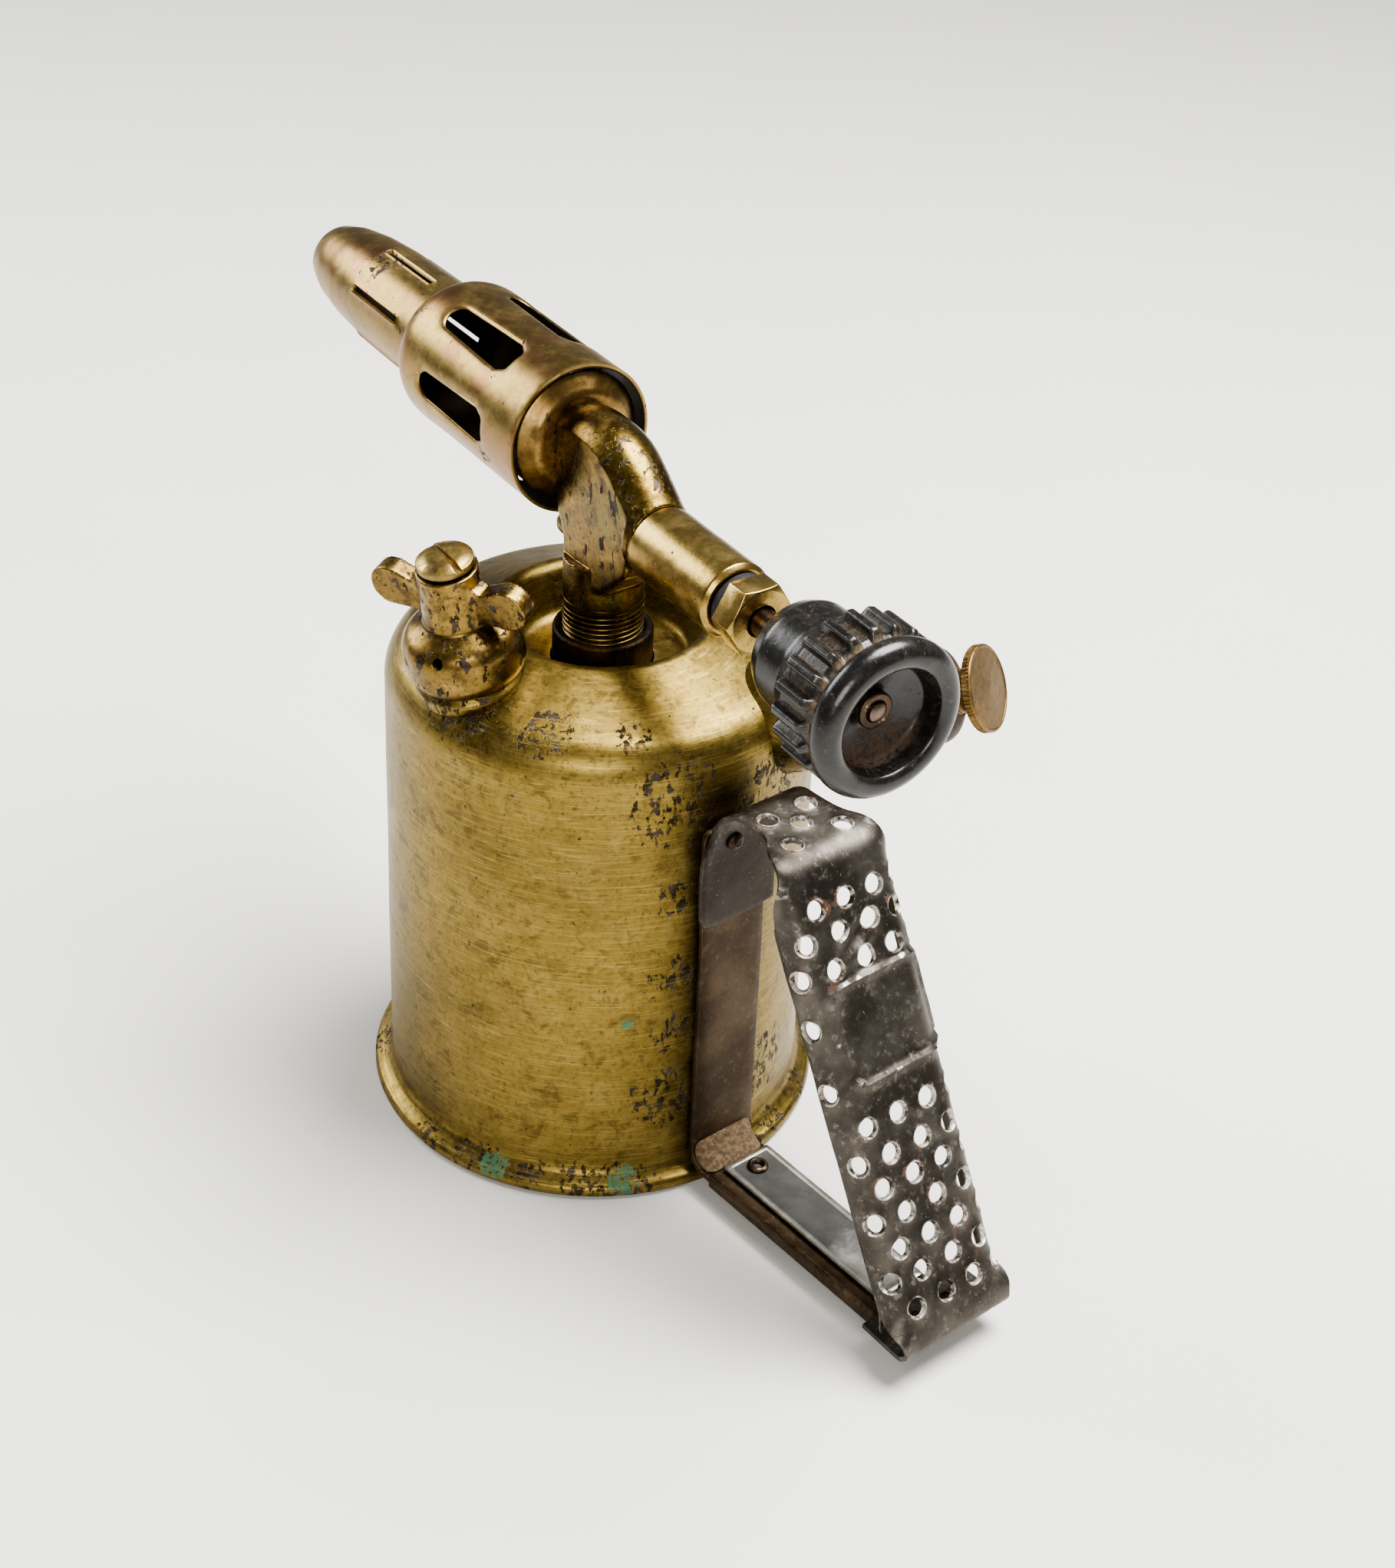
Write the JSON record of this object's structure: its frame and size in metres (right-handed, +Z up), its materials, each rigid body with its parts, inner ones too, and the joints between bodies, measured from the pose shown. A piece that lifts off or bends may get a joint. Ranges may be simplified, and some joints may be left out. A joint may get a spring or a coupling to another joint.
{
  "type": "blowlamp",
  "caption": "Brass petrol blowlamp: upright fuel tank with a priming dish, slotted burner with a control knob, winged filler cap, slanting air pump and a perforated steel handle.",
  "frame": {"origin": "centre of the tank's base, on the plane that the rolled rim stands on (the base plate's flat underside is 1 mm above it)", "axes": "+Z up the tank's axis; +X along the burner's axis from the nozzle to the valve knob; +Y completes a right-handed frame and is the side of the pump"},
  "size_m": [0.2195, 0.0954, 0.1566],
  "materials": {
    "tank_brass": "aged drawn brass, satin, with dark patina blotches",
    "cast_brass": "cast brass, darkened by heat",
    "burner_brass": "spun brass with pale heat stains",
    "turned_brass": "turned brass, worn bright on the edges",
    "inner_brass": "dull brass",
    "blackened_brass": "brass burnt black",
    "graphite_packing": "graphited packing",
    "spindle_steel": "steel with brown staining",
    "bakelite": "black moulded plastic with dirt in the grooves",
    "leather": "oiled leather",
    "rubber": "soft black rubber",
    "handle_steel": "bare steel gone grey-brown with rust",
    "label_metal": "stamped plate with a dark field"
  },
  "bodies": {
    "tank": {"tank_shell": "tank_brass", "tank_base": "tank_brass", "burner_boss": "blackened_brass", "pickup_tube": "inner_brass", "pickup_strainer": "inner_brass", "burner_casting": "cast_brass", "burner_back_plate": "cast_brass", "burner_tube_carrier": "blackened_brass", "jet_nipple": "cast_brass", "burner_tube": "burner_brass", "burner_nozzle": "burner_brass", "stuffing_box": "turned_brass", "gland_packing": "graphite_packing", "gland_nut": "turned_brass", "filler_neck": "tank_brass", "pump_boss": "tank_brass", "pump_barrel": "turned_brass", "pump_cap": "turned_brass", "check_valve_body": "inner_brass", "check_valve_spring": "spindle_steel", "handle_bracket": "handle_steel", "handle_grip": "handle_steel", "handle_top_rivet": "handle_steel", "handle_foot_rivet_left": "handle_steel", "handle_foot_rivet_right": "handle_steel", "label_plate": "label_metal", "label_rivet": "inner_brass"},
    "valve_lift": {"valve_cone": "spindle_steel"},
    "valve": {"valve_spindle": "spindle_steel", "valve_knob": "bakelite", "knob_washer": "spindle_steel"},
    "filler_lift": {"filler_seal": "leather"},
    "filler": {"filler_cap": "cast_brass"},
    "release_lift": {"release_seal": "rubber"},
    "release": {"release_screw": "turned_brass"},
    "pump_piston": {"piston_leather": "leather", "piston_washer": "inner_brass", "piston_nut": "inner_brass"},
    "pump_handle": {"pump_rod": "spindle_steel", "pump_knob": "turned_brass"},
    "check_valve": {"check_valve_pip": "rubber"}
  },
  "joints": [
    {"name": "valve_lift", "type": "slide", "parent": "tank", "child": "valve_lift", "axis": [1, 0, 0], "range_m": [0, 0.0015]},
    {"name": "valve_turn", "type": "hinge", "parent": "valve_lift", "child": "valve", "pos_m": [0.06, 0, 0.1332], "axis": [1, 0, 0], "range_deg": [0, 540.5]},
    {"name": "filler_lift", "type": "slide", "parent": "tank", "child": "filler_lift", "axis": [0.0191, -0.1985, 0.9799], "range_m": [0, 0.006]},
    {"name": "filler_turn", "type": "hinge", "parent": "filler_lift", "child": "filler", "pos_m": [0.00297, -0.03086, 0.1065], "axis": [0.0191, -0.1985, 0.9799], "range_deg": [0, 1440.5]},
    {"name": "release_lift", "type": "slide", "parent": "filler", "child": "release_lift", "axis": [0.0191, -0.1985, 0.9799], "range_m": [0, 0.0012]},
    {"name": "release_turn", "type": "hinge", "parent": "release_lift", "child": "release", "pos_m": [0.00297, -0.03086, 0.1065], "axis": [0.0191, -0.1985, 0.9799], "range_deg": [0, 540.5]},
    {"name": "pump_stroke", "type": "slide", "parent": "tank", "child": "pump_piston", "axis": [0.7691, 0.4995, 0.3987], "range_m": [0, 0.036]},
    {"name": "pump_turn", "type": "hinge", "parent": "pump_piston", "child": "pump_handle", "pos_m": [0.03522, 0.02287, 0.0986], "axis": [0.7691, 0.4995, 0.3987], "continuous": true},
    {"name": "check_valve_lift", "type": "slide", "parent": "tank", "child": "check_valve", "axis": [-0.7691, -0.4995, -0.3987], "range_m": [0, 0.0012], "stiffness_N_per_m": 60, "springref_m": -0.004, "deforming": ["check_valve_spring"]}
  ],
  "couplings": [
    {"joint": "valve_turn", "follows": "valve_lift", "rad_per_m": 6283.2},
    {"joint": "filler_turn", "follows": "filler_lift", "rad_per_m": 4188.8},
    {"joint": "release_turn", "follows": "release_lift", "rad_per_m": 7854}
  ]
}
